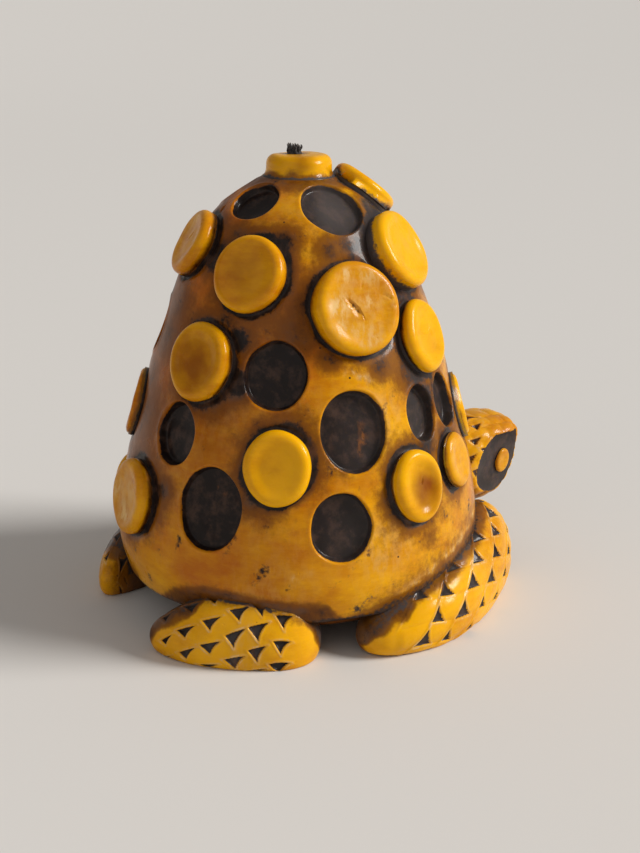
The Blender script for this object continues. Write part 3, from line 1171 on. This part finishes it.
def stain_over(nodes, colour, scuff):
    """The wax colour under its thin glaze and thick stain; and how far the stain covers it."""
    wash = nodes.varied(nodes.field("wash"), nodes.noise(1.5, 5.0, 0.7), 0.7)
    glaze = nodes.mix(nodes.ease(nodes.noise(7, 2.0), 0.45, 0.62), GLAZE, GREY_GLAZE)
    colour = nodes.mix(nodes.ease(wash, 0.08, 0.62, 0.0, 0.88), colour, WARM_GLAZE)
    colour = nodes.mix(nodes.ease(wash, 0.58, 1.12, 0.0, 0.92), colour, glaze)
    colour = nodes.mix(nodes.ease(nodes.pinholes(6.5), 0.025, 0.045), GLAZE, colour)
    dark = nodes.varied(nodes.field("stain"), nodes.noise(0.9, 3.0, 0.6), 0.8)
    cover = nodes.ease(dark, 0.42, 0.72)
    soot = nodes.mix(nodes.ease(nodes.noise(3.2, 4.0, 0.65), 0.42, 0.72), STAIN, WORN_STAIN)
    soot = nodes.mix(nodes.ease(nodes.field("tone"), 0.4, 1.0, 0.0, 0.55), soot, GREY_STAIN)
    soot = nodes.mix(nodes.ease(scuff, 0.15, 0.9, 0.0, 0.85), soot, RUBBED_STAIN)
    return nodes.mix(cover, colour, soot), cover


def wax_material(name):
    nodes = Nodes(name)
    colour, scuff = wax_colour(nodes)
    colour, cover = stain_over(nodes, colour, scuff)
    worn = nodes.maths("MAXIMUM", nodes.maths("MULTIPLY", scuff, 0.22), nodes.maths("MULTIPLY", cover, 0.14))
    worn = nodes.maths("MAXIMUM", worn, nodes.maths("MULTIPLY", nodes.field("wash"), 0.12))
    gloss = nodes.ease(nodes.noise(6, 3.0), 0.3, 0.7, 0.21, 0.33)
    skin = nodes.bump(nodes.noise(0.7, 4.0, 0.6), 0.05, 0.5)
    skin = nodes.bump(nodes.ease(nodes.pinholes(3.4), 0.02, 0.075), 0.12, 0.6, below=skin)
    skin = nodes.bump(nodes.noise(4, 2.0), 0.12, 0.5, below=skin)
    roughness = nodes.maths("ADD", gloss, worn)
    return nodes.shaded({"Base Color": colour, "Roughness": roughness, "Normal": skin, **WAX_SHEEN})


def wick_material():
    nodes = Nodes("frayed_cotton")
    fibres = nodes.ease(nodes.noise(0.5, 3.0), 0.4, 0.6, 0.4, 1.0)
    frayed = nodes.maths("MULTIPLY", nodes.field("scuff"), fibres)
    charred = nodes.mix(nodes.ease(nodes.noise(0.6, 3.0), 0.35, 0.65), CHAR, SOOTY_COTTON)
    return nodes.shaded({"Base Color": nodes.mix(frayed, charred, BARE_COTTON), "Roughness": 0.85,
                         "Normal": nodes.bump(nodes.noise(0.3, 3.0), 0.1, 0.6)})


# ==== studio ====
def turned(x, y, z, degrees_about_z):
    """A point or direction turned about the vertical."""
    angle = radians(degrees_about_z)
    return Vector((x * cos(angle) - y * sin(angle), x * sin(angle) + y * cos(angle), z))


def make_camera():
    """The camera, looking at the candle from its right side and a little behind."""
    pitch, yaw, roll = radians(CAMERA_PITCH), radians(CAMERA_YAW), radians(CAMERA_ROLL)
    ahead = turned(sin(yaw) * cos(pitch), cos(yaw) * cos(pitch), -sin(pitch), CAMERA_AZIMUTH)
    right = turned(cos(yaw), -sin(yaw), 0, CAMERA_AZIMUTH)
    above = right.cross(ahead)
    across = right * cos(roll) + above * sin(roll)
    upward = above * cos(roll) - right * sin(roll)
    data = bpy.data.cameras.new("photo_camera")
    data.lens = CAMERA_LENS
    data.sensor_width = SENSOR_WIDTH
    camera = bpy.data.objects.new("photo_camera", data)
    bpy.context.scene.collection.objects.link(camera)
    place = turned(0, -CAMERA_REACH, CAMERA_HEIGHT, CAMERA_AZIMUTH) * MM
    place.y += AXIS_Y * MM
    turn = Matrix((across, upward, -ahead)).transposed().to_4x4()
    camera.matrix_world = Matrix.Translation(place) @ turn
    bpy.context.scene.camera = camera


def add_light(name, kind, energy, colour, place, aim_height, **settings):
    """A light at a place in the camera's frame (right, away, up), aimed at a height on the axis."""
    data = bpy.data.lights.new(name, kind)
    data.energy = energy
    data.color = colour
    for setting, value in settings.items():
        setattr(data, setting, value)
    light = bpy.data.objects.new(name, data)
    bpy.context.scene.collection.objects.link(light)
    light.location = turned(*place, CAMERA_AZIMUTH)
    aim = Vector((0, 0, aim_height)) - light.location
    light.rotation_mode = "QUATERNION"
    light.rotation_quaternion = aim.to_track_quat("-Z", "Y")


def make_floor():
    """A pale round floor that rises very gently towards its far edge."""
    around = 96
    rings = turned_piece(FLOOR_RINGS, around)
    points = np.vstack([*rings, [[0, 0, 0]]])
    beside = [(i, (i + 1) % around) for i in range(around)]
    faces = [(start + i, start + j, start + around + j, start + around + i)
             for start in range(0, around * (len(rings) - 1), around) for i, j in beside]
    faces += [(j, i, len(points) - 1) for i, j in beside]
    mesh = bpy.data.meshes.new("floor")
    mesh.from_pydata(points.tolist(), [], faces)
    mesh.shade_smooth()
    material = bpy.data.materials.new("pale_floor")
    material.use_nodes = True
    shader = material.node_tree.nodes["Principled BSDF"]
    shader.inputs["Base Color"].default_value = FLOOR_COLOUR
    shader.inputs["Roughness"].default_value = 0.9
    mesh.materials.append(material)
    floor = bpy.data.objects.new("floor", mesh)
    bpy.context.scene.collection.objects.link(floor)


def make_studio():
    add_light("window", "SUN", 3.5, (1.0, 0.98, 0.95), WINDOW_PLACE, 0, angle=radians(24))
    add_light("bounce", "AREA", 0.8, (1.0, 0.97, 0.93), BOUNCE_PLACE, 0.045, size=0.8)
    world = bpy.data.worlds.new("pale_room")
    bpy.context.scene.world = world
    world.use_nodes = True
    background = world.node_tree.nodes["Background"]
    background.inputs["Color"].default_value = ROOM_COLOUR
    background.inputs["Strength"].default_value = 0.33
    make_floor()
    bpy.context.scene.view_settings.view_transform = "Standard"


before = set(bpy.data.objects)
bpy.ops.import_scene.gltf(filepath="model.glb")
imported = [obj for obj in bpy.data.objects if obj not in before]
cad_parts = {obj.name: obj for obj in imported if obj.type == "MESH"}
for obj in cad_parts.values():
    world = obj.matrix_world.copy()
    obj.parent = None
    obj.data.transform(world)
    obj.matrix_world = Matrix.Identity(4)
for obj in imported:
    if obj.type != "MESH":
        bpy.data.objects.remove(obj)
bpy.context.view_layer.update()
crown_low, crown_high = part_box("crown_disc")
AXIS_Y = (crown_low.y + crown_high.y) / 2 / MM

make_camera()
make_studio()
shell_wax = wax_material("shell_wax")
disc_wax = wax_material("disc_wax")
limb_wax = wax_material("limb_wax")
build_shell(shell_wax)
for disc_number, (disc_spot, disc_row) in enumerate(zip(DISC_SPOTS, DISCS), start=1):
    build_disc(disc_number, disc_spot, disc_row[4], disc_wax)
build_crown(disc_wax)
build_belly(limb_wax)
build_wick(wick_material())
build_hind_legs(limb_wax)
build_front_legs(limb_wax)
build_head(limb_wax)
build_eyes(wax_material("iris_wax"))
